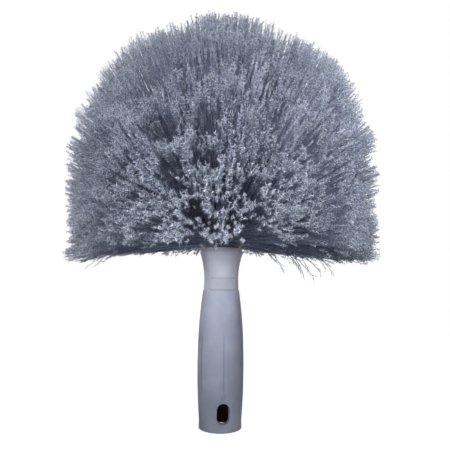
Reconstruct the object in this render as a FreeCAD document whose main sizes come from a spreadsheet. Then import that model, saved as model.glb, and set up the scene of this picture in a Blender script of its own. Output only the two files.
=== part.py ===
import FreeCAD, Part
import os
import Sketcher

Vector = FreeCAD.Vector
Rotation = FreeCAD.Rotation
Placement = FreeCAD.Placement

doc = FreeCAD.newDocument("cobweb_brush")
sheet = doc.addObject("Spreadsheet::Sheet", "sizes")

# Driving sizes: lengths in millimetres, angles in degrees, and counts
driving_sizes = {
    # Fits
    "fit_gap": 0.05,
    "cut_overrun": 2.0,
    # Pole socket in the handle core
    "socket_radius": 11.0,
    "socket_depth": 62.0,
    "mouth_chamfer": 1.2,
    "core_wall": 1.6,
    "bush_seat_step": 0.4,
    "bush_length": 30.0,
    "thread_radius": 9.5,
    "thread_depth": 2.4,
    "thread_pitch": 5.08,
    "screw_room_height": 6.0,
    "web_thickness": 4.0,
    # Grip sleeve
    "sleeve_wall": 1.1,
    "palm_taper": 3.75,
    "foot_taper": 1.65,
    "lip_flare": 0.35,
    "lip_height": 5.2,
    "palm_rise": 40.8,
    "shoulder_rise": 55.5,
    "sleeve_edge_round": 0.35,
    "lip_edge_round": 0.8,
    "key_width": 3.0,
    "key_height": 0.8,
    "key_rise": 30.0,
    "key_length": 55.0,
    "key_count": 4,
    "groove_count": 6,
    "groove_width": 1.3,
    "groove_rise": 27.0,
    "groove_length": 43.0,
    # Lock slot and the index mark above it
    "slot_width": 8.9,
    "slot_height": 14.7,
    "slot_rise": 6.2,
    "slot_edge_round": 0.7,
    "mark_width": 4.9,
    "mark_height": 4.6,
    "mark_gap": 2.4,
    "mark_depth": 0.5,
    # Neck and collar of the handle core
    "neck_step": 0.45,
    "waist_dip": 0.35,
    "waist_rise": 7.8,
    "collar_flare": 3.5,
    "collar_rise": 20.7,
    "rim_land": 0.8,
    "rim_edge_round": 0.4,
    "collar_chamfer_run": 2.85,
    "collar_chamfer_rise": 3.0,
    "panel_angle": 92.0,
    "panel_height": 8.6,
    "panel_rise": 0.9,
    "panel_depth": 0.35,
    # Brush block and its screw
    "stem_radius": 9.6,
    "block_radius": 17.5,
    "block_lift": 4.7,
    "block_neck_inset": 0.2,
    "skirt_wall": 0.6,
    "screw_radius": 1.9,
    "screw_reach": 16.0,
    "screw_tip_length": 2.0,
    "screw_head_radius": 3.8,
    "screw_head_height": 2.4,
    "drive_slot_width": 0.9,
    "drive_slot_length": 4.2,
    "drive_slot_depth": 1.2,
    "washer_radius": 5.6,
    "washer_thickness": 1.2,
    "washer_gap": 0.3,
    "screw_room_gap": 2.0,
    # Tufts and their anchors
    "ring_step": 15.0,
    "ring_1_tufts": 6,
    "ring_2_tufts": 12,
    "ring_3_tufts": 17,
    "ring_4_tufts": 21,
    "ring_5_tufts": 23,
    "ring_6_tufts": 24,
    "hole_radius": 1.25,
    "hole_depth": 4.8,
    "tuft_flare": 7.4,
    "clump_pitch": 10.5,
    "clump_depth": 10.0,
    "clump_point": 3.0,
    "anchor_rise": 0.6,
    "anchor_height": 1.4,
    "anchor_thickness": 0.35,
    "anchor_bite": 0.2,
    # Outer dome that the bristle ends lie on
    "head_radius": 114.5,
    "head_skirt": 57.2,
    "envelope_seam_turn": 37.0,
}

# Shares of the thread's pitch and depth that shape its tooth
tooth_root_share = 0.62
tooth_crest_share = 0.26
tooth_overcut_share = 0.1

for row, (alias, size) in enumerate(driving_sizes.items(), start=1):
    sheet.set(f"A{row}", alias)
    sheet.set(f"B{row}", str(size))
    sheet.setAlias(f"B{row}", alias)
doc.recompute()

# Sizes worked out from the driving ones, as expressions on the sheet
core_radius = "(sizes.socket_radius + sizes.core_wall)"
sleeve_bore_radius = f"({core_radius} + sizes.fit_gap)"
sleeve_top_radius = f"({sleeve_bore_radius} + sizes.sleeve_wall)"
palm_radius = f"({sleeve_top_radius} + sizes.palm_taper)"
foot_radius = f"({palm_radius} - sizes.foot_taper)"
lip_radius = f"({foot_radius} + sizes.lip_flare)"
palm_height = "(sizes.lip_height + sizes.palm_rise)"
grip_length = f"({palm_height} + sizes.shoulder_rise)"

neck_radius = f"({sleeve_top_radius} - sizes.neck_step)"
waist_radius = f"({neck_radius} - sizes.waist_dip)"
waist_height = f"({grip_length} + sizes.waist_rise)"
rim_radius = f"({waist_radius} + sizes.collar_flare)"
rim_height = f"({waist_height} + sizes.collar_rise)"
collar_radius = f"({rim_radius} - sizes.collar_chamfer_run)"
collar_height = f"({rim_height} + sizes.rim_land + sizes.collar_chamfer_rise)"

bush_seat_radius = "(sizes.socket_radius - sizes.bush_seat_step)"
bush_top = "(sizes.socket_depth + sizes.bush_length)"
web_bottom = f"({bush_top} + sizes.screw_room_height)"
web_top = f"({web_bottom} + sizes.web_thickness)"
screw_room_radius = "(sizes.washer_radius + sizes.screw_room_gap)"
web_hole_radius = "(sizes.screw_radius + sizes.washer_gap)"
stem_bore_radius = "(sizes.stem_radius + sizes.fit_gap)"

block_center = f"({collar_height} + sizes.block_lift)"
hole_floor = "(sizes.block_radius - sizes.hole_depth)"
tuft_root_radius = "(sizes.hole_radius - sizes.fit_gap)"
anchor_floor = f"({hole_floor} + sizes.anchor_rise)"
anchor_half_width = "(sizes.hole_radius + sizes.anchor_bite)"
dome_center = f"({collar_height} + sizes.head_skirt)"

# Position number that a sketch gives to the center of an arc
arc_center = 3

ring_names = ["crown", "ring_1", "ring_2", "ring_3", "ring_4", "ring_5", "ring_6"]


def value(expression):
    return float(sheet.evalExpression(expression))


def tangent_radius(rise, run):
    """Radius of an arc that starts along the axis and drifts by run over rise."""
    return f"(({rise})^2 + ({run})^2) / (2 * ({run}))"


def origin_feature(body, role):
    return [item for item in body.Origin.OriginFeatures if item.Role == role][0]


def new_body(label):
    body = doc.addObject("PartDesign::Body", label)
    body.Label = label
    return body


def arc_between(start, end, center_height, side):
    """Arc about a center at a known height, bulging to one side of its chord."""
    chord = end - start
    low_square = (start.y - center_height) ** 2 + start.x ** 2
    high_square = (end.y - center_height) ** 2 + end.x ** 2
    center = Vector((high_square - low_square) / (2 * chord.x), center_height, 0)
    radius = start.distanceToPoint(center)
    normal = Vector(-chord.y, chord.x, 0).normalize()
    return Part.Arc(start, center + normal * radius * side, end)


def place_point(sketch, geometry, position, across=None, up=None):
    """Holds one point of a sketch at coordinates given as expressions."""
    for kind, axis, expression in (("DistanceX", -2, across), ("DistanceY", -1, up)):
        if expression == "0":
            sketch.addConstraint(Sketcher.Constraint("PointOnObject", geometry, position, axis))
        elif expression:
            index = sketch.addConstraint(
                Sketcher.Constraint(kind, geometry, position, value(expression)))
            sketch.setExpression(f"Constraints[{index}]", expression)


def outline(body, name, corners, support=None):
    """Closed sketch; a corner is (x, y), or (x, y, center height, side) where an arc leaves it."""
    sketch = body.newObject("Sketcher::SketchObject", name)
    sketch.AttachmentSupport = [(support or origin_feature(body, "XZ_Plane"), "")]
    sketch.MapMode = "FlatFace"
    points = [Vector(value(corner[0]), value(corner[1]), 0) for corner in corners]
    ends = []
    for index, corner in enumerate(corners):
        start = points[index]
        end = points[(index + 1) % len(points)]
        if len(corner) == 2:
            sketch.addGeometry(Part.LineSegment(start, end), False)
        else:
            sketch.addGeometry(arc_between(start, end, value(corner[2]), corner[3]), False)
        first = sketch.getPoint(index, 1)
        forward = first.distanceToPoint(start) < first.distanceToPoint(end)
        ends.append((1, 2) if forward else (2, 1))
    for index, corner in enumerate(corners):
        following = (index + 1) % len(corners)
        sketch.addConstraint(Sketcher.Constraint(
            "Coincident", index, ends[index][1], following, ends[following][0]))
        place_point(sketch, index, ends[index][0], corner[0], corner[1])
        if len(corner) > 2:
            place_point(sketch, index, arc_center, up=corner[2])
    return sketch


def box_corners(left, right, low, high):
    return [(left, low), (right, low), (right, high), (left, high)]


def revolved(body, name, sketch, kind="Revolution", angle=None):
    feature = body.newObject(f"PartDesign::{kind}", name)
    feature.Profile = sketch
    feature.ReferenceAxis = (sketch, ["V_Axis"])
    feature.Angle = 360
    if angle:
        feature.Midplane = True
        feature.setExpression("Angle", angle)
    return feature


def extruded(body, name, sketch, kind, length=None, midplane=False, reverse=False):
    """Pad or Pocket; with no length it runs through everything."""
    feature = body.newObject(f"PartDesign::{kind}", name)
    feature.Profile = sketch
    feature.Midplane = midplane
    feature.Reversed = reverse
    if length:
        feature.setExpression("Length", length)
    else:
        feature.Type = "ThroughAll"
    return feature


def patterned(body, name, features, count):
    pattern = body.newObject("PartDesign::PolarPattern", name)
    pattern.Originals = features
    pattern.Axis = (origin_feature(body, "Z_Axis"), [""])
    pattern.Angle = 360
    pattern.setExpression("Occurrences", count)
    pattern.Refine = False
    body.Tip = pattern
    return pattern


def rounded(body, name, edges, radius):
    """Fillet on the edges of the body's last feature that a test picks out."""
    doc.recompute()
    base = body.Tip
    names = [f"Edge{number}" for number, edge in enumerate(base.Shape.Edges, start=1) if edges(edge)]
    fillet = body.newObject("PartDesign::Fillet", name)
    fillet.Base = (base, names)
    fillet.setExpression("Radius", radius)
    return fillet


def ring_edge(radius, height):
    """Test for a full circle of one radius at one height."""
    def test(edge):
        curve = edge.Curve
        if not isinstance(curve, Part.Circle):
            return False
        near = abs(curve.Radius - value(radius)) < value("sizes.fit_gap")
        return near and abs(curve.Center.z - value(height)) < value("sizes.fit_gap")
    return test


def ring_support(body, name, number):
    """Plane through the axis, turned half a tuft pitch on every second ring."""
    plane = body.newObject("PartDesign::Plane", f"{name}_plane")
    plane.AttachmentSupport = [(origin_feature(body, "XZ_Plane"), "")]
    plane.MapMode = "FlatFace"
    plane.AttachmentOffset = Placement(Vector(), Rotation(Vector(0, 1, 0), 1))
    turn = f"180 deg / sizes.ring_{number}_tufts" if number % 2 else "0 deg"
    plane.setExpression("AttachmentOffset.Rotation.Angle", turn)
    plane.setExpression("AttachmentOffset.Base.y", block_center)
    return plane


def tilted(item, number):
    """Tilts a sketch or a plane so that its upright axis is the axis of one tuft."""
    item.AttachmentOffset = Placement(Vector(), Rotation(Vector(0, 0, 1), 1))
    angle = f"{number} * sizes.ring_step * 1 deg"
    item.setExpression("AttachmentOffset.Rotation.Angle", angle)
    return item


def ring_pattern(body, name, features, number):
    """Repeats a tuft feature round its ring; the crown stands alone."""
    if number:
        patterned(body, f"{name}_pattern", features, f"sizes.ring_{number}_tufts")


def ring_copies(label, item, number):
    """Repeats a finished tuft round its ring; the crown stands alone."""
    if number == 0:
        item.Label = label
        return item
    count = f"sizes.ring_{number}_tufts"
    copies = []
    for place in range(round(value(count))):
        copy = doc.addObject("App::Link", f"{label}_{place}")
        copy.LinkedObject = item
        copy.Placement = Placement(Vector(), Rotation(Vector(0, 0, 1), 1))
        copy.setExpression("Placement.Rotation.Angle", f"{place} * 360 deg / {count}")
        copies.append(copy)
    ring = doc.addObject("Part::Compound", label)
    ring.Links = copies
    ring.Label = label
    return ring


def anchor_outline(body, name, support, number, gap):
    half = f"(sizes.anchor_thickness / 2 + {gap})"
    low = f"({anchor_floor} - {gap})"
    high = f"({anchor_floor} + sizes.anchor_height + {gap})"
    corners = box_corners(f"-{half}", half, low, high)
    return tilted(outline(body, name, corners, support), number)


def slot_corners():
    """Oblong with round ends for the pole lock."""
    half = "(sizes.slot_width / 2)"
    low = f"(sizes.slot_rise + {half})"
    high = f"(sizes.slot_rise + sizes.slot_height - {half})"
    return [
        (half, low),
        (half, high, high, -1),
        (f"-{half}", high),
        (f"-{half}", low, low, -1),
    ]


def lower_grip_radius(height):
    """Outer radius of the grip between the lip and the palm swell."""
    sweep = tangent_radius("sizes.palm_rise", "sizes.foot_taper")
    return f"({palm_radius} - {sweep} + sqrt(({sweep})^2 - ({palm_height} - {height})^2))"


def upper_grip_radius(height):
    """Outer radius of the grip between the palm swell and the step."""
    sweep = tangent_radius("sizes.shoulder_rise", "sizes.palm_taper")
    return f"({palm_radius} - {sweep} + sqrt(({sweep})^2 - ({height} - {palm_height})^2))"


def key_outline(body, gap):
    """Section of one key that stops the sleeve turning on the core."""
    half = f"(sizes.key_width / 2 + {gap})"
    inner = f"({core_radius} - sizes.core_wall / 2)"
    outer = f"({core_radius} + sizes.key_height + {gap})"
    corners = box_corners(inner, outer, f"-{half}", half)
    sketch = outline(body, "key_outline", corners, origin_feature(body, "XY_Plane"))
    sketch.setExpression("AttachmentOffset.Base.z", f"sizes.key_rise - {gap}")
    return sketch


def make_grip_sleeve():
    body = new_body("grip_sleeve")
    profile = outline(body, "grip_profile", [
        (sleeve_bore_radius, "0"),
        (lip_radius, "0"),
        (foot_radius, "sizes.lip_height", palm_height, -1),
        (palm_radius, palm_height, palm_height, -1),
        (sleeve_top_radius, grip_length),
        (sleeve_bore_radius, grip_length),
    ])
    revolved(body, "grip_shell", profile)
    rounded(body, "lip_rounding", ring_edge(lip_radius, "0"), "sizes.lip_edge_round")
    rounded(body, "top_rounding", ring_edge(sleeve_top_radius, grip_length), "sizes.sleeve_edge_round")

    extruded(body, "lock_slot", outline(body, "slot_outline", slot_corners()), "Pocket", reverse=True)
    slot_top = "(sizes.slot_rise + sizes.slot_height)"
    wall_middle = (value(sleeve_bore_radius) + value(foot_radius)) / 2

    def slot_rim(edge):
        points = edge.discretize(5)
        on_front = all(point.y < 0 and abs(point.x) < value("sizes.slot_width") for point in points)
        in_slot = all(0 < point.z < value(slot_top) + value("sizes.fit_gap") for point in points)
        outside = all(point.x ** 2 + point.y ** 2 > wall_middle ** 2 for point in points)
        return on_front and in_slot and outside and points[0].z > value("sizes.fit_gap")

    rounded(body, "slot_rounding", slot_rim, "sizes.slot_edge_round")

    mark_low = f"({slot_top} + sizes.mark_gap)"
    half_mark = "(sizes.mark_width / 2)"
    mark = outline(body, "mark_outline", [
        (f"-{half_mark}", mark_low),
        (half_mark, mark_low),
        ("0", f"({mark_low} + sizes.mark_height)"),
    ])
    mark.setExpression("AttachmentOffset.Base.z", f"{lower_grip_radius(mark_low)} - sizes.mark_depth")
    extruded(body, "index_mark", mark, "Pocket", reverse=True)

    groove_top = "(sizes.groove_rise + sizes.groove_length)"
    low_radius = lower_grip_radius("sizes.groove_rise")
    high_radius = upper_grip_radius(groove_top)
    strip = outline(body, "groove_strip", [
        (f"-{low_radius}", "sizes.groove_rise"),
        (f"-{high_radius}", groove_top),
        (f"-({high_radius} + sizes.cut_overrun)", groove_top),
        (f"-({low_radius} + sizes.cut_overrun)", "sizes.groove_rise"),
    ], origin_feature(body, "YZ_Plane"))
    width_angle = f"sizes.groove_width / {palm_radius} * 1 rad"
    groove = revolved(body, "grip_groove", strip, "Groove", width_angle)
    patterned(body, "grip_grooves", [groove], "sizes.groove_count")

    keyway = extruded(body, "keyway", key_outline(body, "sizes.fit_gap"), "Pocket",
                      "sizes.key_length + 2 * sizes.fit_gap", reverse=True)
    patterned(body, "keyways", [keyway], "sizes.key_count")
    return body


def make_handle_core():
    body = new_body("handle_core")
    profile = outline(body, "core_profile", [
        ("sizes.socket_radius + sizes.mouth_chamfer", "0"),
        (core_radius, "0"),
        (core_radius, grip_length),
        (neck_radius, grip_length, waist_height, 1),
        (waist_radius, waist_height, waist_height, 1),
        (rim_radius, rim_height),
        (rim_radius, f"({rim_height} + sizes.rim_land)"),
        (collar_radius, collar_height),
        (stem_bore_radius, collar_height),
        (stem_bore_radius, web_top),
        (web_hole_radius, web_top),
        (web_hole_radius, web_bottom),
        (screw_room_radius, web_bottom),
        (screw_room_radius, bush_top),
        (bush_seat_radius, bush_top),
        (bush_seat_radius, "sizes.socket_depth"),
        ("sizes.socket_radius", "sizes.socket_depth"),
        ("sizes.socket_radius", "sizes.mouth_chamfer"),
    ])
    revolved(body, "core_shell", profile)
    rounded(body, "rim_rounding", ring_edge(rim_radius, rim_height), "sizes.rim_edge_round")
    extruded(body, "lock_slot", outline(body, "slot_outline", slot_corners()), "Pocket", reverse=True)

    panel_low = f"({grip_length} + sizes.panel_rise)"
    panel_floor = f"({waist_radius} - sizes.panel_depth)"
    recess = outline(body, "panel_outline", box_corners(
        f"-({panel_floor} + sizes.cut_overrun)", f"-{panel_floor}",
        panel_low, f"({panel_low} + sizes.panel_height)"), origin_feature(body, "YZ_Plane"))
    revolved(body, "blank_panel", recess, "Groove", "sizes.panel_angle * 1 deg")

    key = extruded(body, "key", key_outline(body, "0"), "Pad", "sizes.key_length")
    patterned(body, "keys", [key], "sizes.key_count")
    return body


def make_thread_bush():
    body = new_body("thread_bush")
    outer = f"({bush_seat_radius} - sizes.fit_gap)"
    inner = "(sizes.thread_radius - sizes.thread_depth)"
    ring = outline(body, "bush_profile", box_corners(inner, outer, "sizes.socket_depth", bush_top))
    revolved(body, "bush_ring", ring)
    start = "(sizes.socket_depth - sizes.thread_pitch / 2)"
    root = f"(sizes.thread_pitch * {tooth_root_share} / 2)"
    crest = f"(sizes.thread_pitch * {tooth_crest_share} / 2)"
    tooth_inner = f"({inner} - sizes.thread_depth * {tooth_overcut_share})"
    tooth = outline(body, "tooth_profile", [
        (tooth_inner, f"({start} - {root})"),
        ("sizes.thread_radius", f"({start} - {crest})"),
        ("sizes.thread_radius", f"({start} + {crest})"),
        (tooth_inner, f"({start} + {root})"),
    ])
    thread = body.newObject("PartDesign::SubtractiveHelix", "thread")
    thread.Profile = tooth
    thread.ReferenceAxis = (tooth, ["V_Axis"])
    thread.Mode = "pitch-height-angle"
    thread.setExpression("Pitch", "sizes.thread_pitch")
    thread.setExpression("Height", "sizes.bush_length + sizes.thread_pitch")
    thread.Angle = 0
    return body


def make_block_screw():
    body = new_body("block_screw")
    head_top = f"({web_bottom} - sizes.washer_thickness)"
    head_low = f"({head_top} - sizes.screw_head_height)"
    tip = f"({web_top} + sizes.screw_reach)"
    profile = outline(body, "screw_profile", [
        ("0", head_low),
        ("sizes.screw_head_radius", head_low),
        ("sizes.screw_head_radius", head_top),
        ("sizes.screw_radius", head_top),
        ("sizes.screw_radius", f"({tip} - sizes.screw_tip_length)"),
        ("0", tip),
    ])
    revolved(body, "screw_shape", profile)
    half = "(sizes.drive_slot_width / 2)"
    reach = "(sizes.drive_slot_length / 2)"
    slot = outline(body, "drive_outline", box_corners(f"-{reach}", reach, f"-{half}", half),
                   origin_feature(body, "XY_Plane"))
    slot.setExpression("AttachmentOffset.Base.z", head_low)
    drive = extruded(body, "drive_slot", slot, "Pocket", "sizes.drive_slot_depth", reverse=True)
    cross = patterned(body, "drive_cross", [drive], "2")
    cross.Angle = 90
    return body


def make_screw_washer():
    body = new_body("screw_washer")
    ring = outline(body, "washer_profile", box_corners(
        web_hole_radius, "sizes.washer_radius",
        f"({web_bottom} - sizes.washer_thickness)", web_bottom))
    revolved(body, "washer_ring", ring)
    return body


def make_brush_block():
    body = new_body("brush_block")
    pilot_radius = "(sizes.screw_radius + sizes.fit_gap)"
    pilot_top = f"({web_top} + sizes.screw_reach + sizes.fit_gap)"
    skirt_drop = "(sizes.hole_radius + sizes.skirt_wall)"
    skirt_radius = f"sqrt(sizes.block_radius^2 - {skirt_drop}^2)"
    profile = outline(body, "block_profile", [
        (pilot_radius, web_top),
        ("sizes.stem_radius", web_top),
        ("sizes.stem_radius", collar_height),
        (f"({collar_radius} - sizes.block_neck_inset)", collar_height),
        (skirt_radius, f"({block_center} - {skirt_drop})", block_center, -1),
        ("0", f"({block_center} + sizes.block_radius)"),
        ("0", pilot_top),
        (pilot_radius, pilot_top),
    ])
    revolved(body, "block_shape", profile)
    for number, ring in enumerate(ring_names):
        plane = ring_support(body, f"hole_{ring}", number)
        bore = box_corners("0", "sizes.hole_radius", hole_floor,
                           "(sizes.block_radius + sizes.cut_overrun)")
        sketch = tilted(outline(body, f"hole_{ring}_outline", bore, plane), number)
        hole = revolved(body, f"hole_{ring}", sketch, "Groove")
        bite = anchor_outline(body, f"bite_{ring}_outline", plane, number, "sizes.fit_gap")
        slit = extruded(body, f"bite_{ring}", bite, "Pocket",
                        f"2 * ({anchor_half_width} + sizes.fit_gap)", midplane=True)
        hole.Refine = False
        slit.Refine = False
        ring_pattern(body, f"hole_{ring}", [hole, slit], number)
    return body


def make_head_envelope():
    """Half ball on a plain skirt, used only to trim the bristle ends."""
    body = new_body("head_envelope")
    profile = outline(body, "envelope_profile", [
        ("0", "0"),
        ("sizes.head_radius", "0"),
        ("sizes.head_radius", dome_center, dome_center, -1),
        ("0", f"({dome_center} + sizes.head_radius)"),
    ])
    revolved(body, "envelope_shape", profile)
    # Turned so that its seam meets no seam of a bundle
    body.Placement = Placement(Vector(), Rotation(Vector(0, 0, 1), value("sizes.envelope_seam_turn")))
    return body


def tuft_reach(number):
    """Distance from the block's center to the dome along the tufts of one ring."""
    tilt = f"({number} * sizes.ring_step * 1 deg)"
    rise = "(sizes.head_skirt - sizes.block_lift)"
    to_ball = f"({rise} * cos({tilt}) + sqrt(sizes.head_radius^2 - ({rise} * sin({tilt}))^2))"
    if number == 0:
        return to_ball
    to_skirt = f"(sizes.head_radius / sin({tilt}))"
    return f"({to_skirt} * cos({tilt}) < {rise} ? {to_skirt} : {to_ball})"


def clump_plane(body, name, support, turn):
    """Plane through the axis of one tuft, turned about that axis."""
    plane = body.newObject("PartDesign::Plane", name)
    plane.AttachmentSupport = [(support, "")]
    plane.MapMode = "FlatFace"
    plane.AttachmentOffset = Placement(Vector(), Rotation(Vector(0, 1, 0), turn))
    return plane


def clump_notches(body, name, plane, number):
    """Row of sharp notches across a bundle's end, which leaves it pointed in clumps."""
    reach = tuft_reach(number)
    floor = f"({reach} - sizes.clump_depth)"
    tip = f"({reach} + sizes.clump_point)"
    top = "(sizes.head_skirt + sizes.head_radius + sizes.cut_overrun)"
    corners = []
    for step in range(-4, 5):
        across = f"({step} * sizes.clump_pitch / 2)" if step else "0"
        corners.append((across, tip if step % 2 else floor))
    corners += [("(2 * sizes.clump_pitch)", top), ("(-2 * sizes.clump_pitch)", top)]
    sketch = outline(body, f"{name}_outline", corners, plane)
    return extruded(body, name, sketch, "Pocket", "4 * sizes.clump_pitch", midplane=True)


def make_tuft(ring, number, envelope):
    """Bristle bundles of one ring: a root in each hole that fans out to pointed clumps at the dome."""
    body = new_body(f"bundle_{ring}")
    plane = ring_support(body, "bundle", number)
    end = "(sizes.head_skirt + sizes.head_radius)"
    fan = f"({end} - sizes.block_radius) * tan(sizes.tuft_flare * 1 deg)"
    profile = outline(body, "bundle_profile", [
        ("0", hole_floor),
        (tuft_root_radius, hole_floor),
        (tuft_root_radius, "sizes.block_radius"),
        (f"({tuft_root_radius} + {fan})", end),
        ("0", end),
    ], plane)
    revolved(body, "bundle", tilted(profile, number))
    slit_outline = anchor_outline(body, "slit_outline", plane, number, "sizes.fit_gap")
    extruded(body, "anchor_slit", slit_outline, "Pocket", "2 * sizes.hole_radius", midplane=True)
    along = tilted(clump_plane(body, "clumps_along_plane", plane, 0), number)
    across = clump_plane(body, "clumps_across_plane", along, 90)
    clump_notches(body, "clumps_along", along, number)
    clump_notches(body, "clumps_across", across, number)
    tuft = doc.addObject("Part::Common", f"trimmed_{ring}")
    tuft.Base = body
    tuft.Tool = envelope
    return ring_copies(f"tuft_{ring}", tuft, number)


def make_anchor(ring, number):
    """Flat wire pieces across the holes of one ring."""
    body = new_body(f"anchor_{ring}")
    plane = ring_support(body, "anchor", number)
    sketch = anchor_outline(body, "anchor_outline", plane, number, "0")
    anchor = extruded(body, "anchor", sketch, "Pad", f"2 * {anchor_half_width}", midplane=True)
    ring_pattern(body, "anchor", [anchor], number)
    return body


def check(nodes):
    """Stops before anything is written if a feature failed or a cut took nothing away."""
    for item in doc.Objects:
        if "Invalid" in item.State or "Error" in item.State:
            raise RuntimeError(f"{item.Name} did not compute: {item.State}")
        cuts = ("PartDesign::Pocket", "PartDesign::Groove", "PartDesign::SubtractiveHelix")
        if item.TypeId in cuts and item.Shape.Volume >= item.BaseFeature.Shape.Volume:
            raise RuntimeError(f"{item.Name} cuts nothing")
    for node in nodes:
        if node.Shape.isNull() or not node.Shape.isValid() or not node.Shape.Solids:
            raise RuntimeError(f"{node.Label} has no valid shape")


nodes = [
    make_grip_sleeve(),
    make_handle_core(),
    make_thread_bush(),
    make_block_screw(),
    make_screw_washer(),
    make_brush_block(),
]
head_envelope = make_head_envelope()
for number, ring in enumerate(ring_names):
    nodes.append(make_tuft(ring, number, head_envelope))
    nodes.append(make_anchor(ring, number))
doc.recompute()
check(nodes)

os.makedirs("parts", exist_ok=True)
for node in nodes:
    node.Shape.exportStep(f"parts/{node.Label}.step")
    print(node.Label, len(node.Shape.Solids), "solids", round(node.Shape.Volume), "cubic mm")
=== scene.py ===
import math
import random

import bpy
from mathutils import Matrix, Vector, noise


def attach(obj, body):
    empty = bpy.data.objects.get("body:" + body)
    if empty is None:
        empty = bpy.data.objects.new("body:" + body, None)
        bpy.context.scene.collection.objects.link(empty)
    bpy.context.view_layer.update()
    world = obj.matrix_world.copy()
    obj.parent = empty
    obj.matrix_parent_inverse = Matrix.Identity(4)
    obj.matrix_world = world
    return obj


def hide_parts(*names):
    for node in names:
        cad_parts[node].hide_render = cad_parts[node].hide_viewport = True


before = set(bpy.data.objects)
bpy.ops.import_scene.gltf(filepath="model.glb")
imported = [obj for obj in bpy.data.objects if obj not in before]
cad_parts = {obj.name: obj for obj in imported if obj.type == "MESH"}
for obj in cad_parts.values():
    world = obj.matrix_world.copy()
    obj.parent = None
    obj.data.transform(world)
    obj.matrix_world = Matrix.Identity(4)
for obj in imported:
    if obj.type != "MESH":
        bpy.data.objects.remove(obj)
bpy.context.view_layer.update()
print("frame loaded:", len(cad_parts), "CAD nodes")


def linear(code):
    # sRGB hex such as "#8a90a0" to the linear colour that shaders take
    parts = [int(code[i:i + 2], 16) / 255 for i in (1, 3, 5)]
    return tuple(p / 12.92 if p <= 0.04045 else ((p + 0.055) / 1.055) ** 2.4 for p in parts) + (1.0,)


def addNode(tree, kind, settings=None, sockets=None, stops=()):
    # sockets: by place or identifier, a value to set, an output to link, or a node for its first output
    # stops: places and hex colours of a colour ramp, from left to right
    node = tree.nodes.new(kind)
    for name, value in (settings or {}).items():
        setattr(node, name, value)
    for key, value in (sockets or {}).items():
        socket = next(s for place, s in enumerate(node.inputs) if key in (place, s.identifier))
        if isinstance(value, bpy.types.Node):
            value = value.outputs[0]
        if isinstance(value, bpy.types.NodeSocket):
            tree.links.new(value, socket)
        else:
            socket.default_value = value
    for number, (place, code) in enumerate(stops):
        elements = node.color_ramp.elements
        element = elements[number] if number < len(elements) else elements.new(place)
        element.position = place
        element.color = linear(code)
    return node


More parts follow.
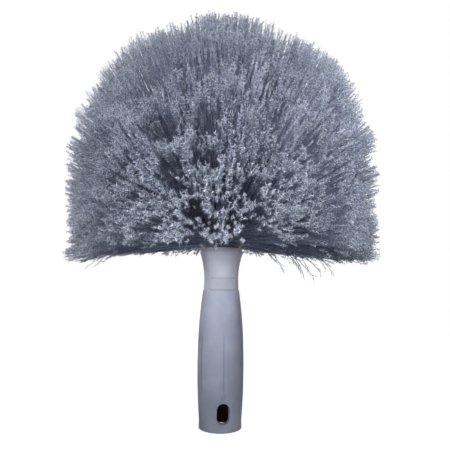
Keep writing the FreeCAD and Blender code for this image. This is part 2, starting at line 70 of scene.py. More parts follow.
bristleHead = {
    "ballHeight": 0.1385,       # centre of the block, where all tufts point from
    "rootRadius": 0.0140,       # filaments start inside the tuft holes
    "holeRadius": 0.0010,
    "domeHeight": 0.1940,       # centre of the dome's half ball
    "domeRadius": 0.1172,
    "ringNames": ("crown", "ring_1", "ring_2", "ring_3", "ring_4", "ring_5", "ring_6"),
    "ringTufts": (1, 6, 12, 17, 21, 23, 24),
    "ringFilaments": (180, 180, 173, 162, 149, 140, 140),   # in each tuft
    "ringStep": 15.0,           # degrees from ring to ring
    "ringStart": -90.0,         # degrees from the front round to a ring's start
    "tuftLean": 2.0,            # degrees that a tuft leans off its hole
    "tuftBow": 0.0025,
    "tuftSpread": 9.8,          # degrees off the tuft's axis
    "orderShift": (0.2, 0.8),   # how a filament moves along the tuft's even order
    "filamentSpread": 1.0,      # and the degrees that it then stands off it
    "filamentBow": 0.0030,
    "leastBow": 0.2,            # as a share of the bow
    "tipHook": 0.0060,
    "sag": 0.0015,              # droop of the lowest ring
    "sagPower": 2.0,            # less of it in the rings above
    "filamentShort": 0.0045,    # how far a filament may stay behind the dome
    "shortPower": 2.2,          # most stay behind by little
    "deepShare": 0.10,          # filaments that end deeper and fill the gaps
    "deepShort": 0.022,
    "leastDeep": 0.3,           # as a share of that depth
    "bushes": 7.5,              # bushes that the tips gather in, per unit of direction
    "bushNumber": 57.0,         # sets the bushes' own numbers far apart
    "bushShort": 0.015,         # how far a whole bush may stay behind
    "valleyWidth": 0.38,        # of the valleys between bushes, as a share of a bush
    "valleyDepth": 0.012,
    "valleyOpen": 0.6,          # how open a valley is on the whole, 0 to 1
    "valleyPatch": 2.0,         # bushes across a patch of deeper or shallower valleys
    "lowSide": 0.125,           # how far below level the lowest ring spreads, at the sides,
    "lowFront": 0.045,          # in front
    "lowBack": 0.020,           # and at the back
    "lowScatter": 0.05,         # filaments that are held up there spread over this much
    "tone": 0.45,               # from 0, a dark filament, to 1, a pale one
    "toneSpread": 0.15,
    "valleyPaintedShade": 0.45,        # painted shade: how much darker a filament is in a valley,
    "bushPaintedShade": 0.20,          # in a bush that stays behind, and how much paler in one that stands out,
    "partingPaintedShade": 0.55,       # and, as a share, beside a parting
    "partingReach": 2.0,        # half widths of a parting that its painted shade reaches
    "seed": 11,
    "ringSeed": 100,            # seed steps from ring to ring and from piece to piece
    "pieceSeed": 10,
    "pieceFilaments": 1500,     # keeps a piece under 200,000 triangles
    # where the tufts part: degrees round from the front, degrees up from level, and half width
    "partings": (
        (-23.0, 17.5, 5.4), (-46.5, 18.5, 6.0), (-28.5, 30.0, 5.8), (1.0, 12.8, 4.0), (-16.0, 7.0, 4.2),
        (-13.0, 22.7, 4.8), (-13.3, 31.8, 5.0), (4.0, 21.0, 3.4), (-22.0, 30.0, 3.0), (5.2, 25.4, 3.0),
        (-52.0, 30.0, 4.6), (-60.0, 12.0, 3.2), (-38.0, 11.0, 2.8),
    ),
    # where no tips stand, so that the smooth shafts behind are seen
    "bare": (
        (1.5, 0.5, 4.6), (7.5, -3.0, 3.4), (11.5, -4.2, 3.4), (21.0, -1.8, 3.0), (25.5, -1.2, 3.2),
        (30.0, -0.8, 3.0), (-15.5, -2.0, 2.2), (-20.0, -3.6, 2.6), (-24.5, -4.8, 2.6), (-28.5, -0.5, 2.6),
        (-32.0, 0.8, 2.2), (-32.0, -5.2, 2.8), (-36.0, -4.9, 3.2), (-41.0, -4.6, 3.2), (-46.0, -4.5, 3.0),
        (-50.5, -4.2, 2.8),
    ),
}


def wayTo(turn, climb):
    # direction from degrees round from the front and degrees up from level
    turn = math.radians(turn)
    climb = math.radians(climb)
    return Vector((math.sin(turn) * math.cos(climb), -math.cos(turn) * math.cos(climb), math.sin(climb)))


def leaning(way, turn, off):
    # a direction so many degrees off another one, turned about it
    side = way.orthogonal().normalized()
    across = way.cross(side)
    lean = side * math.cos(turn) + across * math.sin(turn)
    return (way + lean * math.tan(math.radians(off))).normalized()


def anyWay(chance):
    return Vector([chance.gauss(0.0, 1.0) for _ in range(3)]).normalized()


def domeReach(way, head):
    # from the block's centre out to the dome: half ball above, straight skirt below
    rise = head["domeHeight"] - head["ballHeight"]
    level = math.hypot(way.x, way.y)
    if way.z * head["domeRadius"] < rise * level:
        return head["domeRadius"] / level
    return way.z * rise + math.sqrt((way.z * rise) ** 2 + head["domeRadius"] ** 2 - rise ** 2)


def heldUp(way, head, chance):
    # the head's lower edge rises a little in front and more at the back
    end = head["lowFront"] if way.y < 0 else head["lowBack"]
    lowest = -(head["lowSide"] + (end - head["lowSide"]) * abs(way.y))
    if way.z < lowest:
        way = Vector((way.x, way.y, lowest + chance.uniform(0.0, head["lowScatter"]))).normalized()
    return way


def parted(way, head):
    # pushes a direction out of the partings that it falls in, and tells how near it stands to one, 0 to 1
    near = 0.0
    for turn, climb, halfWidth in head["partings"]:
        gap = wayTo(turn, climb)
        off = way - gap * way.dot(gap)
        wide = math.sin(math.radians(halfWidth))
        if way.dot(gap) > 0 and off.length < head["partingReach"] * wide:
            near = max(near, head["partingReach"] - off.length / wide)
            way = (way + off.normalized() * max(0.0, wide - off.length)).normalized()
    return way, min(1.0, near)


def isBare(way, head):
    for turn, climb, halfWidth in head["bare"]:
        if way.angle(wayTo(turn, climb)) < math.radians(halfWidth):
            return True
    return False


def bushAt(way, head):
    # how deep in a valley between two bushes a direction lies, 0 to 1, and how its bush differs, -1 to 1
    distances, middles = noise.voronoi(way * head["bushes"])
    deep = max(0.0, 1 - (distances[1] - distances[0]) / head["valleyWidth"])
    opened = head["valleyOpen"] + noise.noise(way * head["bushes"] / head["valleyPatch"])
    return deep * min(1.0, max(0.0, opened)), noise.cell(middles[0] * head["bushNumber"])


def tuftFilaments(axis, ring, head, chance):
    # one tuft: filaments in sunflower order over its end, each a little off its place
    centre = Vector((0.0, 0.0, head["ballHeight"]))
    root = centre + axis * head["rootRadius"]
    tuftBow = anyWay(chance) * head["tuftBow"]
    count = head["ringFilaments"][ring]
    lowestRing = len(head["ringNames"]) - 1
    sag = Vector((0.0, 0.0, -head["sag"] * (ring / lowestRing) ** head["sagPower"]))
    firstTurn = chance.uniform(0.0, math.tau)
    goldenTurn = math.pi * (3 - math.sqrt(5))
    made = []
    for number in range(count):
        share = math.sqrt((number + chance.uniform(*head["orderShift"])) / count)
        way = leaning(axis, firstTurn + number * goldenTurn, share * head["tuftSpread"])
        way = leaning(way, chance.uniform(0.0, math.tau), head["filamentSpread"] * chance.random())
        way, near = parted(way, head)
        way = heldUp(way, head, chance)
        side = anyWay(chance)
        side -= way * side.dot(way)
        valley, own = bushAt(way, head)
        short = head["filamentShort"] * chance.random() ** head["shortPower"]
        short += head["valleyDepth"] * valley + head["bushShort"] * max(0.0, own)
        if chance.random() < head["deepShare"]:
            short += head["deepShort"] * chance.uniform(head["leastDeep"], 1.0)
        start = root + anyWay(chance) * head["holeRadius"]
        tone = head["tone"] + head["toneSpread"] * chance.random()
        # painted shade: darker in valleys and in bushes that stay behind, paler in bushes that stand out
        tone -= head["valleyPaintedShade"] * valley + head["bushPaintedShade"] * own
        if isBare(way, head):
            continue
        made.append({
            "start": start,
            "span": centre + way * (domeReach(way, head) - short) - start,
            "bow": tuftBow + anyWay(chance) * head["filamentBow"] * chance.uniform(head["leastBow"], 1.0),
            "hook": side * head["tipHook"] * chance.random() + sag,
            # painted shade beside a parting
            "tone": tone * (1 - head["partingPaintedShade"] * near),
        })
    return made


# a filament's sizes, which are the named inputs of its tree
filament = {
    "Points": 5,
    "Tip Crowding": 2.3,        # sets the points closer towards the tip
    "Sides": 3,                 # of a shaft and of a split end
    "Hook Power": 4.0,          # the hook bends the last part only
    "Crimp": 0.0030,            # waviness at the tip
    "Crimp Power": 2.0,         # how fast it dies away below
    "Crimp Size": 0.011,
    "Shaft Radius": 0.00025,    # drawn thicker than the real hair, so that it shows
    "Tip Taper": 0.5,
    "Bare Share": 0.925,        # share of the length that isn't split
    "Barbs": 24,                # split ends, drawn coarser than the real ones
    "Barb Length": 0.0018,
    "Barb Radius": 0.00025,
    "Barb Splay": math.radians(60),
    "Barb Opening Low": 0.75,   # share of the splay where the split part starts
    "Barb Opening High": 1.15,  # and at the tip
    "Barb Tone": 0.6,           # share of its filament's tone that a split end takes
    "Barb Paling": 0.45,        # how much paler its point is than its foot
}

# what the tree draws for each filament or split end: least, most and seed; None is the piece's own seed
drawn = {
    "bareShare": (-0.04, 0.03, None),   # added to the bare share
    "splay": (0.5, 1.3, None),          # shares of the sizes
    "radius": (0.7, 1.25, 2),
    "length": (0.55, 1.35, 3),
    "turn": (0.0, math.tau, 1),
    "tone": (-0.42, 0.58, 4),           # added to the tone
}

# the map that the colour is read from: place along the filament across it, tone up it
colourMap = {
    "share": 0.95,
    "marginLeast": 0.018,       # scattered, so that each face covers a little of the map
    "marginMost": 0.032,
    "seed": 5,
}

# values that each root carries, and those that the tree adds; none stays on the finished mesh
rootVectors = ("start", "span", "bow", "hook")
rootNumbers = ("tone",)
treeVectors = ("spread",)
treeNumbers = ("along", "height")


def makeBristleTree():
    tree = bpy.data.node_groups.new("bristleTufts", "GeometryNodeTree")
    face = tree.interface
    face.new_socket("Roots", in_out="INPUT", socket_type="NodeSocketGeometry")
    for name, value in filament.items():
        kind = "NodeSocketInt" if isinstance(value, int) else "NodeSocketFloat"
        face.new_socket(name, in_out="INPUT", socket_type=kind)
    face.new_socket("Seed", in_out="INPUT", socket_type="NodeSocketInt")
    face.new_socket("Finish", in_out="INPUT", socket_type="NodeSocketMaterial")
    face.new_socket("Bristles", in_out="OUTPUT", socket_type="NodeSocketGeometry")
    given = addNode(tree, "NodeGroupInput").outputs
    kept = {}
    for kind, names in (("FLOAT_VECTOR", rootVectors + treeVectors), ("FLOAT", rootNumbers + treeNumbers)):
        for name in names:
            kept[name] = addNode(tree, "GeometryNodeInputNamedAttribute", {"data_type": kind},
                                 {"Name": name})
    along = kept["along"]
    number = addNode(tree, "GeometryNodeInputIndex")
    chances = {}
    for name, (least, most, seed) in drawn.items():
        chances[name] = addNode(tree, "FunctionNodeRandomValue", {"data_type": "FLOAT"},
                                {"Min_001": least, "Max_001": most, "ID": number,
                                 "Seed": given["Seed"] if seed is None else seed}).outputs[1]

    # a straight line for each root, with more points towards the tip
    line = addNode(tree, "GeometryNodeCurvePrimitiveLine", {"mode": "POINTS"}, {"End": (0.0, 0.0, 1.0)})
    line = addNode(tree, "GeometryNodeResampleCurve", {"mode": "COUNT"},
                   {"Curve": line, "Count": given["Points"]})
    lines = addNode(tree, "GeometryNodeInstanceOnPoints", {}, {"Points": given["Roots"], "Instance": line})
    lines = addNode(tree, "GeometryNodeRealizeInstances", {}, {"Geometry": lines})
    share = addNode(tree, "GeometryNodeSplineParameter")
    rest = addNode(tree, "ShaderNodeMath", {"operation": "SUBTRACT"}, {0: 1.0, 1: share})
    rest = addNode(tree, "ShaderNodeMath", {"operation": "POWER"}, {0: rest, 1: given["Tip Crowding"]})
    place = addNode(tree, "ShaderNodeMath", {"operation": "SUBTRACT"}, {0: 1.0, 1: rest})
    lines = addNode(tree, "GeometryNodeStoreNamedAttribute", {"data_type": "FLOAT", "domain": "POINT"},
                    {"Geometry": lines, "Name": "along", "Value": place})

    # bent in the middle, hooked at the tip and crimped a little more towards it
    path = addNode(tree, "ShaderNodeVectorMath", {"operation": "MULTIPLY_ADD"},
                   {0: kept["span"], 1: along, 2: kept["start"]})
    arch = addNode(tree, "ShaderNodeMath", {"operation": "PINGPONG"}, {0: along, 1: 0.5})
    arch = addNode(tree, "ShaderNodeMath", {"operation": "MULTIPLY"}, {0: arch, 1: math.pi})
    arch = addNode(tree, "ShaderNodeMath", {"operation": "SINE"}, {0: arch})
    path = addNode(tree, "ShaderNodeVectorMath", {"operation": "MULTIPLY_ADD"},
                   {0: kept["bow"], 1: arch, 2: path})
    late = addNode(tree, "ShaderNodeMath", {"operation": "POWER"}, {0: along, 1: given["Hook Power"]})
    path = addNode(tree, "ShaderNodeVectorMath", {"operation": "MULTIPLY_ADD"},
                   {0: kept["hook"], 1: late, 2: path})
    fineness = addNode(tree, "ShaderNodeMath", {"operation": "DIVIDE"}, {0: 1.0, 1: given["Crimp Size"]})
    wave = addNode(tree, "ShaderNodeTexNoise", {"noise_dimensions": "4D"},
                   {"Vector": path, "W": kept["tone"], "Scale": fineness, "Detail": 1.0})
    wave = addNode(tree, "ShaderNodeVectorMath", {"operation": "SUBTRACT"},
                   {0: wave.outputs[1], 1: (0.5, 0.5, 0.5)})
    crimp = addNode(tree, "ShaderNodeMath", {"operation": "POWER"}, {0: along, 1: given["Crimp Power"]})
    crimp = addNode(tree, "ShaderNodeMath", {"operation": "MULTIPLY"}, {0: crimp, 1: given["Crimp"]})
    path = addNode(tree, "ShaderNodeVectorMath", {"operation": "MULTIPLY_ADD"},
                   {0: wave, 1: crimp, 2: path})
    lines = addNode(tree, "GeometryNodeSetPosition", {}, {"Geometry": lines, "Position": path})

    # shafts, thinner to the tip
    ring = addNode(tree, "GeometryNodeCurvePrimitiveCircle", {"mode": "RADIUS"},
                   {"Resolution": given["Sides"], "Radius": given["Shaft Radius"]})
    taper = addNode(tree, "ShaderNodeMapRange", {}, {0: along, 3: 1.0, 4: given["Tip Taper"]})
    shafts = addNode(tree, "GeometryNodeCurveToMesh", {},
                     {"Curve": lines, "Profile Curve": ring, "Scale": taper, "Fill Caps": True})

    # split ends: thin closed cones round the outer part of every shaft, more open towards the tip
    bare = addNode(tree, "ShaderNodeMath", {"operation": "ADD"},
                   {0: given["Bare Share"], 1: chances["bareShare"]})
    outer = addNode(tree, "GeometryNodeTrimCurve", {"mode": "FACTOR"},
                    {"Curve": lines, "Start": bare, "End": 1.0})
    spots = addNode(tree, "GeometryNodeCurveToPoints", {"mode": "COUNT"},
                    {"Curve": outer, "Count": given["Barbs"]})
    cone = addNode(tree, "GeometryNodeMeshCone", {"fill_type": "NGON"},
                   {"Vertices": given["Sides"], "Side Segments": 1, "Radius Top": 0.0, "Radius Bottom": 1.0,
                    "Depth": 1.0})
    corner = addNode(tree, "ShaderNodeSeparateXYZ", {}, {0: addNode(tree, "GeometryNodeInputPosition")})
    cone = addNode(tree, "GeometryNodeStoreNamedAttribute", {"data_type": "FLOAT", "domain": "POINT"},
                   {"Geometry": cone, "Name": "height", "Value": corner.outputs[2]})
    opening = addNode(tree, "ShaderNodeMapRange", {},
                      {0: along, 1: given["Bare Share"], 3: given["Barb Opening Low"],
                       4: given["Barb Opening High"]})
    splay = addNode(tree, "ShaderNodeMath", {"operation": "MULTIPLY"},
                    {0: chances["splay"], 1: given["Barb Splay"]})
    splay = addNode(tree, "ShaderNodeMath", {"operation": "MULTIPLY"}, {0: splay, 1: opening})
    turn = addNode(tree, "ShaderNodeCombineXYZ", {}, {0: splay, 2: chances["turn"]})
    turn = addNode(tree, "FunctionNodeEulerToRotation", {}, {0: turn})
    turn = addNode(tree, "FunctionNodeRotateRotation", {"rotation_space": "LOCAL"},
                   {"Rotation": spots.outputs["Rotation"], "Rotate By": turn})
    radius = addNode(tree, "ShaderNodeMath", {"operation": "MULTIPLY"},
                     {0: chances["radius"], 1: given["Barb Radius"]})
    length = addNode(tree, "ShaderNodeMath", {"operation": "MULTIPLY"},
                     {0: chances["length"], 1: given["Barb Length"]})
    size = addNode(tree, "ShaderNodeCombineXYZ", {}, {0: radius, 1: radius, 2: length})
    barbs = addNode(tree, "GeometryNodeInstanceOnPoints", {},
                    {"Points": spots, "Instance": cone, "Rotation": turn, "Scale": size})
    tone = addNode(tree, "ShaderNodeMath", {"operation": "MULTIPLY_ADD"},
                   {0: kept["tone"], 1: given["Barb Tone"], 2: chances["tone"]})
    barbs = addNode(tree, "GeometryNodeStoreNamedAttribute", {"data_type": "FLOAT", "domain": "INSTANCE"},
                    {"Geometry": barbs, "Name": "tone", "Value": tone})
    barbs = addNode(tree, "GeometryNodeRealizeInstances", {}, {"Geometry": barbs})

    # shafts and split ends together, each point with its place on the colour map
    both = addNode(tree, "GeometryNodeJoinGeometry")
    tree.links.new(shafts.outputs[0], both.inputs[0])
    tree.links.new(barbs.outputs[0], both.inputs[0])
    margin = addNode(tree, "FunctionNodeRandomValue", {"data_type": "FLOAT_VECTOR"},
                     {"Min": (colourMap["marginLeast"], colourMap["marginLeast"], 0.0),
                      "Max": (colourMap["marginMost"], colourMap["marginMost"], 0.0),
                      "ID": number, "Seed": colourMap["seed"]})
    paler = addNode(tree, "ShaderNodeMath", {"operation": "MULTIPLY_ADD", "use_clamp": True},
                    {0: kept["height"], 1: given["Barb Paling"], 2: kept["tone"]})
    spread = addNode(tree, "ShaderNodeCombineXYZ", {}, {0: along, 1: paler})
    spread = addNode(tree, "ShaderNodeVectorMath", {"operation": "MULTIPLY_ADD"},
                     {0: spread, 1: (colourMap["share"], colourMap["share"], 0.0), 2: margin})
    whole = addNode(tree, "GeometryNodeStoreNamedAttribute",
                    {"data_type": "FLOAT_VECTOR", "domain": "POINT"},
                    {"Geometry": both, "Name": "spread", "Value": spread})
    whole = addNode(tree, "GeometryNodeStoreNamedAttribute", {"data_type": "FLOAT2", "domain": "CORNER"},
                    {"Geometry": whole, "Name": "OFBake", "Value": kept["spread"]})
    whole = addNode(tree, "GeometryNodeSetShadeSmooth", {}, {"Geometry": whole, "Shade Smooth": True})
    whole = addNode(tree, "GeometryNodeRealizeInstances", {}, {"Geometry": whole})
    whole = addNode(tree, "GeometryNodeSetMaterial", {}, {"Geometry": whole, "Material": given["Finish"]})
    addNode(tree, "NodeGroupOutput", {}, {0: whole})
    return tree


def newFinish(name):
    finish = bpy.data.materials.new(name)
    finish.use_nodes = True
    return finish, finish.node_tree, finish.node_tree.nodes["Principled BSDF"]


filamentLook = {
    # root to tip: split ends paler than the shafts, with painted shade making each darker towards its root
    "place": ((0.0, "#737d96"), (0.5, "#8a94ac"), (0.84, "#9ca5bb"), (0.92, "#b8c0d4"), (1.0, "#eaf0fb")),
    # dark hairs to pale ones; a hair's tone also carries painted shade from valleys, bushes and partings
    "tone": ((0.0, "#6e7179"), (0.5, "#bec1c8"), (1.0, "#f8f9fc")),
    "roughRoot": 0.66,
    "roughTip": 0.76,
    "gloss": 0.08,
}


def makeFilamentFinish(look):
    # flagged polyester filament: smooth shafts and pale split ends, with painted shade darker towards the
    # root, every hair a little different
    finish, tree, shader = newFinish("flaggedPolyesterFilament")
    where = addNode(tree, "ShaderNodeUVMap", {"uv_map": "OFBake"})
    parts = addNode(tree, "ShaderNodeSeparateXYZ", {}, {0: where}).outputs
    byPlace = addNode(tree, "ShaderNodeValToRGB", {}, {0: parts[0]}, look["place"])
    byTone = addNode(tree, "ShaderNodeValToRGB", {}, {0: parts[1]}, look["tone"])
    colour = addNode(tree, "ShaderNodeMix", {"data_type": "RGBA", "blend_type": "MULTIPLY"},
                     {"Factor_Float": 1.0, "A_Color": byPlace, "B_Color": byTone})
    tree.links.new(colour.outputs[2], shader.inputs["Base Color"])
    rough = addNode(tree, "ShaderNodeMapRange", {},
                    {0: parts[0], 3: look["roughRoot"], 4: look["roughTip"]})
    tree.links.new(rough.outputs[0], shader.inputs["Roughness"])
    shader.inputs["Specular IOR Level"].default_value = look["gloss"]
    return finish


bristleTree = makeBristleTree()
bristleFinish = makeFilamentFinish(filamentLook)


def growBristles(name, filaments, seed, changes=None):
    # roots as loose points, then the tree's mesh as a plain object at the origin
    roots = bpy.data.meshes.new(name + "Roots")
    roots.from_pydata([f["start"] for f in filaments], [], [])
    for key in rootVectors:
        values = [c for f in filaments for c in f[key]]
        roots.attributes.new(key, "FLOAT_VECTOR", "POINT").data.foreach_set("vector", values)
    for key in rootNumbers:
        values = [f[key] for f in filaments]
        roots.attributes.new(key, "FLOAT", "POINT").data.foreach_set("value", values)
    holder = bpy.data.objects.new(name + "Roots", roots)
    bpy.context.collection.objects.link(holder)
    nodes = holder.modifiers.new("tufts", "NODES")
    nodes.node_group = bristleTree
    values = {**filament, **(changes or {}), "Seed": seed, "Finish": bristleFinish}
    for item in bristleTree.interface.items_tree:
        if item.item_type == "SOCKET" and item.name in values:
            nodes[item.identifier] = values[item.name]
    seen = holder.evaluated_get(bpy.context.evaluated_depsgraph_get())
    mesh = bpy.data.meshes.new_from_object(seen)
    mesh.name = name
    holder.modifiers.remove(nodes)
    bpy.data.objects.remove(holder)
    bpy.data.meshes.remove(roots)
    for spare in rootVectors + rootNumbers + treeVectors + treeNumbers:
        if spare in mesh.attributes:
            mesh.attributes.remove(mesh.attributes[spare])
    piece = bpy.data.objects.new(name, mesh)
    bpy.context.collection.objects.link(piece)
    print("grown:", name, len(mesh.polygons), "faces")
    return piece


chance = random.Random(bristleHead["seed"])
for ring, (ringName, count) in enumerate(zip(bristleHead["ringNames"], bristleHead["ringTufts"])):
    climb = 90 - ring * bristleHead["ringStep"]
    halfStep = 0.5 if ring % 2 else 0.0         # odd rings stand between even ones
    tufts = []
    for number in range(count):
        axis = wayTo(bristleHead["ringStart"] + 360 * (number + halfStep) / count, climb)
        turn = chance.uniform(0.0, math.tau)
        axis = leaning(axis, turn, bristleHead["tuftLean"] * math.sqrt(chance.random()))
        tufts.append(tuftFilaments(axis, ring, bristleHead, chance))
    pieces = math.ceil(count * bristleHead["ringFilaments"][ring] / bristleHead["pieceFilaments"])
    edges = [round(count * k / pieces) for k in range(pieces + 1)]
    for k in range(pieces):
        name = "bristles_" + ringName + ("" if pieces == 1 else f"_{k + 1}")
        filaments = [f for tuft in tufts[edges[k]:edges[k + 1]] for f in tuft]
        seed = bristleHead["ringSeed"] * ring + bristleHead["pieceSeed"] * k
        piece = growBristles(name, filaments, seed)
        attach(piece, "root")
        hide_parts("tuft_" + ringName)

strayBristles = {
    # bent bristles under the lower edge: degrees round from the front, mm out, mm below the ball's centre
    "tips": (
        (70, 48, 22), (66, 63, 25), (72, 70, 26), (75, 75, 23), (78, 85, 24), (64, 58, 18), (80, 83, 17),
        (70, 66, 20), (62, 53, 16), (60, 43, 15), (74, 61, 23), (77, 79, 20), (-100, 104, 19),
        (-105, 110, 16), (-95, 95, 18), (-90, 88, 16),
    ),
    "bow": 0.0055,
    "palest": 0.6,
    "seed": 900,
    "changes": {
        "Shaft Radius": 0.00036,
        "Bare Share": 0.66,
        "Barbs": 12,
        "Barb Length": 0.0040,
        "Barb Radius": 0.00030,
        "Barb Splay": math.radians(30),
    },
}
strays = []
for turn, out, below in strayBristles["tips"]:
    way = wayTo(turn, 0.0)
    strays.append({
        "start": way * bristleHead["rootRadius"] + Vector((0.0, 0.0, bristleHead["ballHeight"])),
        "span": way * (out / 1000 - bristleHead["rootRadius"]),
        "bow": anyWay(chance) * strayBristles["bow"],
        "hook": Vector((0.0, 0.0, -below / 1000)),
        "tone": strayBristles["palest"] * chance.random(),
    })
stray = growBristles("bristles_stray", strays, strayBristles["seed"], strayBristles["changes"])
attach(stray, "root")
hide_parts("tuft_ring_6")

# handle, block and metal keep their CAD shapes and take their finishes

handlePlastic = {
    "body": "#828696",
    "light": "#8b909f",
    "dark": "#7a7f8e",
    "mottleSize": 0.018,        # cloudy flow marks
    "mottleDetail": 4.0,
    "mottlePlaces": (0.3, 0.5, 0.7),    # of dark, body and light
    "grainSize": 0.0006,        # satin grain, drawn coarser than the real one so that it shows
    "grainDetail": 2.0,
    "grainDepth": 0.00002,
    "grainStrength": 0.35,
    "roughness": 0.46,
    "roughSpread": 0.08,
    "gloss": 0.04,
    "paintedShade": "#3c3e48",        # painted shade in shallow recesses and under the bristles
}
# a band of painted shade comes every so many degrees round the handle, so many degrees wide to each side,
# at a height
gripPlastic = {
    **handlePlastic,
    "paintedShadeBands": {
        "longGrooves": {"every": 60.0, "halfTurn": 1.6, "softTurn": 1.2, "height": 0.0485,
                        "halfHeight": 0.0170, "softHeight": 0.0060, "strength": 0.26},
        "indexMark": {"every": 360.0, "halfTurn": 4.0, "softTurn": 4.0, "height": 0.0254,
                      "halfHeight": 0.0010, "softHeight": 0.0018, "strength": 0.16},
    },
}
corePlastic = {
    **handlePlastic,
    "body": "#848693",
    "light": "#8d909c",
    "dark": "#7c7f8b",
    "paintedBoreShade": "#0c0c0e",        # painted shade on the socket's bore
    "insideRadius": 0.0115,
    "insideSoft": 0.0004,
    "paintedShadeBands": {
        # painted shade along the panel's edges and on its floor
        "panelStep": {"every": 360.0, "halfTurn": 45.0, "softTurn": 2.0, "height": 0.1020,
                      "halfHeight": 0.0003, "softHeight": 0.0005, "strength": 0.36},
        "panelTop": {"every": 360.0, "halfTurn": 45.0, "softTurn": 2.0, "height": 0.1110,
                     "halfHeight": 0.0002, "softHeight": 0.0005, "strength": 0.24},
        "panelFloor": {"every": 360.0, "halfTurn": 45.0, "softTurn": 1.5, "height": 0.1067,
                       "halfHeight": 0.0042, "softHeight": 0.0003, "strength": 0.03},
        # painted shadow that the bristle head casts on the collar's top
        "bristleShadow": {"every": 360.0, "halfTurn": 180.0, "softTurn": 1.0, "height": 0.1310,
                          "halfHeight": 0.0060, "softHeight": 0.0120, "strength": 0.19},
    },
}
blockPlastic = {**handlePlastic, "body": "#3a3e4b", "light": "#474b59", "dark": "#2f333f"}
bushPlastic = {**handlePlastic, "body": "#1c1d20", "light": "#26272b", "dark": "#151618", "roughness": 0.5}


def paintShadeBands(tree, where, shade, look):
    # paints shade into shallow recesses and under the bristles, which are found by their turn round the
    # handle and their height
    parts = addNode(tree, "ShaderNodeSeparateXYZ", {}, {0: where}).outputs
    front = addNode(tree, "ShaderNodeMath", {"operation": "MULTIPLY"}, {0: parts[1], 1: -1.0})
    turn = addNode(tree, "ShaderNodeMath", {"operation": "ARCTAN2"}, {0: parts[0], 1: front})
    for paintedShade in look["paintedShadeBands"].values():
        off = addNode(tree, "ShaderNodeMath", {"operation": "PINGPONG"},
                      {0: turn, 1: math.radians(paintedShade["every"]) / 2})
        across = addNode(tree, "ShaderNodeMapRange", {},
                         {0: off, 1: math.radians(paintedShade["halfTurn"]),
                          2: math.radians(paintedShade["halfTurn"] + paintedShade["softTurn"]),
                          3: paintedShade["strength"], 4: 0.0})
        off = addNode(tree, "ShaderNodeMath", {"operation": "SUBTRACT"}, {0: parts[2], 1: paintedShade["height"]})
        off = addNode(tree, "ShaderNodeMath", {"operation": "ABSOLUTE"}, {0: off})
        along = addNode(tree, "ShaderNodeMapRange", {},
                        {0: off, 1: paintedShade["halfHeight"], 2: paintedShade["halfHeight"] + paintedShade["softHeight"],
                         3: 1.0, 4: 0.0})
        deep = addNode(tree, "ShaderNodeMath", {"operation": "MULTIPLY"}, {0: across, 1: along})
        shade = addNode(tree, "ShaderNodeMix", {"data_type": "RGBA"},
                        {"Factor_Float": deep, "A_Color": shade,
                         "B_Color": linear(look["paintedShade"])}).outputs[2]
    return shade


def paintBoreShade(tree, where, shade, look):
    # painted shade on the bore's wall, which is found by its distance from the handle's axis
    flat = addNode(tree, "ShaderNodeVectorMath", {"operation": "MULTIPLY"}, {0: where, 1: (1.0, 1.0, 0.0)})
    out = addNode(tree, "ShaderNodeVectorMath", {"operation": "LENGTH"}, {0: flat})
    edge = addNode(tree, "ShaderNodeMapRange", {},
                   {0: out.outputs[1], 1: look["insideRadius"],
                    2: look["insideRadius"] + look["insideSoft"]})
    return addNode(tree, "ShaderNodeMix", {"data_type": "RGBA"},
                   {"Factor_Float": edge, "A_Color": linear(look["paintedBoreShade"]), "B_Color": shade}).outputs[2]


def makeMouldedPlastic(name, look):
    # moulded polypropylene or nylon: satin skin with fine grain and faint cloudy flow marks
    finish, tree, shader = newFinish(name)
    where = addNode(tree, "ShaderNodeTexCoord").outputs["Object"]
    cloud = addNode(tree, "ShaderNodeTexNoise", {},
                    {"Vector": where, "Scale": 1 / look["mottleSize"], "Detail": look["mottleDetail"]})
    stops = zip(look["mottlePlaces"], (look["dark"], look["body"], look["light"]))
    shade = addNode(tree, "ShaderNodeValToRGB", {}, {0: cloud}, stops).outputs[0]
    # painted shade in recesses and under the bristles
    if "paintedShadeBands" in look:
        shade = paintShadeBands(tree, where, shade, look)
    # painted shade in the socket's bore
    if "paintedBoreShade" in look:
        shade = paintBoreShade(tree, where, shade, look)
    tree.links.new(shade, shader.inputs["Base Color"])
    grain = addNode(tree, "ShaderNodeTexNoise", {},
                    {"Vector": where, "Scale": 1 / look["grainSize"], "Detail": look["grainDetail"]})
    bump = addNode(tree, "ShaderNodeBump", {},
                   {"Strength": look["grainStrength"], "Distance": look["grainDepth"], "Height": grain})
    tree.links.new(bump.outputs[0], shader.inputs["Normal"])
    rough = addNode(tree, "ShaderNodeMapRange", {},
                    {0: grain, 3: look["roughness"] - look["roughSpread"],
                     4: look["roughness"] + look["roughSpread"]})
    tree.links.new(rough.outputs[0], shader.inputs["Roughness"])
    shader.inputs["Specular IOR Level"].default_value = look["gloss"]
    return finish


fastenerSteel = {
    "dark": "#8f9193",
    "light": "#c2c4c4",
    "places": (0.3, 0.7),
    "streaks": (900, 900, 200),     # in a metre, so 1.1 mm wide and 5 mm long
    "detail": 3.0,
    "roughLeast": 0.25,
    "roughMost": 0.45,
}
wireSteel = {**fastenerSteel, "dark": "#85878a", "light": "#b5b7b9", "streaks": (700, 700, 700)}


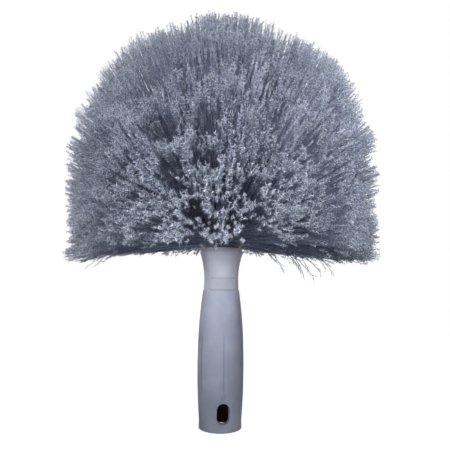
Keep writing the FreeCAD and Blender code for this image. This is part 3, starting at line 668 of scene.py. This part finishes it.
def makeMetal(name, look):
    # plated steel: bright with faint drawn streaks and dull specks
    finish, tree, shader = newFinish(name)
    where = addNode(tree, "ShaderNodeTexCoord").outputs["Object"]
    stretched = addNode(tree, "ShaderNodeMapping", {}, {"Vector": where, "Scale": look["streaks"]})
    streaks = addNode(tree, "ShaderNodeTexNoise", {},
                      {"Vector": stretched, "Scale": 1.0, "Detail": look["detail"]})
    stops = zip(look["places"], (look["dark"], look["light"]))
    colour = addNode(tree, "ShaderNodeValToRGB", {}, {0: streaks}, stops)
    tree.links.new(colour.outputs[0], shader.inputs["Base Color"])
    rough = addNode(tree, "ShaderNodeMapRange", {},
                    {0: streaks, 3: look["roughLeast"], 4: look["roughMost"]})
    tree.links.new(rough.outputs[0], shader.inputs["Roughness"])
    shader.inputs["Metallic"].default_value = 1.0
    return finish


def wear(finish, *names):
    for name in names:
        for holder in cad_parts[name].material_slots:
            holder.material = finish
        print("finish on:", name, finish.name)


wear(makeMouldedPlastic("mouldedPolypropyleneGrip", gripPlastic), "grip_sleeve")
wear(makeMouldedPlastic("mouldedPolypropyleneCore", corePlastic), "handle_core")
wear(makeMouldedPlastic("mouldedPolypropyleneBlock", blockPlastic), "brush_block")
wear(makeMouldedPlastic("mouldedNylonBush", bushPlastic), "thread_bush")
wear(makeMetal("zincPlatedSteel", fastenerSteel), "block_screw", "screw_washer")
wear(makeMetal("flatSteelWire", wireSteel), *["anchor_" + name for name in bristleHead["ringNames"]])

studio = {
    "white": "#ffffff",
    "floorWide": 6.0,
    "floorBelow": 0.0003,       # clear of the handle's rim
    "floorColour": "#f2f2f2",
    "floorGlow": 0.80,          # lifts the seen floor to white, but for the brush's shadow
    "bounceColour": "#989898",  # what the floor throws back on to the brush
    "fadeFrom": 0.25,           # the floor turns to plain white between these distances
    "fadeTo": 0.70,
    "ambient": 0.12,
    "lamps": {                  # place, aim, width, watts and degrees of spread
        "keySoftbox": ((-0.28, -0.96, 0.16), (0.0, 0.0, 0.21), 0.26, 0.34, 32),
        "frontSoftbox": ((-0.60, -1.48, 0.10), (0.0, 0.0, 0.18), 0.60, 12.8, 180),
        "topSoftbox": ((0.58, -0.62, 1.05), (0.0, 0.0, 0.20), 0.40, 4.4, 150),
        "headSoftbox": ((0.45, -1.08, 0.10), (0.02, 0.0, 0.214), 0.08, 0.047, 9.8),
        "lowSoftbox": ((-0.30, -1.04, 0.02), (-0.02, 0.0, 0.176), 0.08, 0.054, 11),
        "gripSoftbox": ((-0.22, -0.96, 0.12), (0.0, 0.0, 0.090), 0.06, 0.011, 7),
        "rearSoftbox": ((0.10, 1.50, 0.16), (0.0, 0.0, 0.17), 0.28, 13.0, 150),
    },
    "cameraFrom": 0.38605,      # level distance to the brush's axis
    "cameraHeight": 0.11435,
    "cameraTurn": -8.0,         # degrees round the brush, towards its left
    "aimRight": 0.39,           # degrees off the axis,
    "aimUp": 5.54,              # up from level
    "roll": 0.42,               # and about the line of sight
    "focal": 39.98,             # mm, on a sensor so many mm wide
    "sensor": 36.0,
    "nearest": 0.01,
}


def seenRays(tree):
    # 1 where the camera, a reflection or clear material looks at the background, else 0
    ray = addNode(tree, "ShaderNodeLightPath").outputs
    seen = addNode(tree, "ShaderNodeMath", {"operation": "MAXIMUM"},
                   {0: ray["Is Camera Ray"], 1: ray["Is Glossy Ray"]})
    return addNode(tree, "ShaderNodeMath", {"operation": "MAXIMUM"},
                   {0: seen, 1: ray["Is Transmission Ray"]})


def makeFloor(look):
    half = look["floorWide"] / 2
    corners = [(x * half, y * half, -look["floorBelow"]) for x, y in ((-1, -1), (1, -1), (1, 1), (-1, 1))]
    mesh = bpy.data.meshes.new("floor")
    mesh.from_pydata(corners, [], [(0, 1, 2, 3)])
    floor = bpy.data.objects.new("floor", mesh)
    bpy.context.collection.objects.link(floor)
    # matt board: keeps the shadow near the brush and turns white further out
    finish = bpy.data.materials.new("paleStudioFloor")
    finish.use_nodes = True
    tree = finish.node_tree
    tree.nodes.clear()
    where = addNode(tree, "ShaderNodeTexCoord").outputs["Object"]
    away = addNode(tree, "ShaderNodeVectorMath", {"operation": "LENGTH"}, {0: where}).outputs[1]
    fade = addNode(tree, "ShaderNodeMapRange", {"interpolation_type": "SMOOTHSTEP"},
                   {0: away, 1: look["fadeFrom"], 2: look["fadeTo"]})
    white = linear(look["white"])
    matt = addNode(tree, "ShaderNodeBsdfDiffuse", {}, {"Color": linear(look["floorColour"])})
    glow = addNode(tree, "ShaderNodeEmission", {}, {"Color": white, "Strength": look["floorGlow"]})
    near = addNode(tree, "ShaderNodeAddShader", {}, {0: matt, 1: glow})
    far = addNode(tree, "ShaderNodeEmission", {}, {"Color": white, "Strength": 1.0})
    shown = addNode(tree, "ShaderNodeMixShader", {}, {0: fade, 1: near, 2: far})
    dull = addNode(tree, "ShaderNodeBsdfDiffuse", {}, {"Color": linear(look["bounceColour"])})
    whole = addNode(tree, "ShaderNodeMixShader", {}, {0: seenRays(tree), 1: dull, 2: shown})
    addNode(tree, "ShaderNodeOutputMaterial", {}, {0: whole})
    mesh.materials.append(finish)


def makeWorld(look):
    # white where it is seen, dim where it lights
    world = bpy.data.worlds.new("studioWorld")
    bpy.context.scene.world = world
    world.use_nodes = True
    tree = world.node_tree
    tree.nodes.clear()
    white = linear(look["white"])
    dim = addNode(tree, "ShaderNodeBackground", {}, {"Color": white, "Strength": look["ambient"]})
    bright = addNode(tree, "ShaderNodeBackground", {}, {"Color": white, "Strength": 1.0})
    both = addNode(tree, "ShaderNodeMixShader", {}, {0: seenRays(tree), 1: dim, 2: bright})
    addNode(tree, "ShaderNodeOutputWorld", {}, {0: both})


def makeLamps(look):
    for name, (place, aim, width, watts, spread) in look["lamps"].items():
        lamp = bpy.data.lights.new(name, "AREA")
        lamp.shape = "SQUARE"
        lamp.size = width
        lamp.energy = watts
        lamp.spread = math.radians(spread)
        holder = bpy.data.objects.new(name, lamp)
        holder.location = place
        holder.rotation_euler = (Vector(aim) - Vector(place)).to_track_quat("-Z", "Y").to_euler()
        bpy.context.collection.objects.link(holder)


def makeCamera(look):
    upright = Vector((0.0, 0.0, 1.0))
    place = wayTo(look["cameraTurn"], 0.0) * look["cameraFrom"] + upright * look["cameraHeight"]
    heading = -wayTo(look["cameraTurn"] - look["aimRight"], 0.0)
    tilt = math.radians(look["aimUp"])
    ahead = heading * math.cos(tilt) + upright * math.sin(tilt)
    level = heading.cross(upright)
    above = level.cross(ahead)
    roll = math.radians(look["roll"])
    right = level * math.cos(roll) + above * math.sin(roll)
    up = above * math.cos(roll) - level * math.sin(roll)
    lens = bpy.data.cameras.new("photoCamera")
    lens.lens = look["focal"]
    lens.sensor_width = look["sensor"]
    lens.clip_start = look["nearest"]
    camera = bpy.data.objects.new("photoCamera", lens)
    camera.matrix_world = Matrix.Translation(place) @ Matrix((right, up, -ahead)).transposed().to_4x4()
    bpy.context.collection.objects.link(camera)
    bpy.context.scene.camera = camera


makeFloor(studio)
makeWorld(studio)
makeLamps(studio)
makeCamera(studio)
bpy.context.scene.view_settings.view_transform = "Standard"
print("studio set:", len(studio["lamps"]), "lamps")
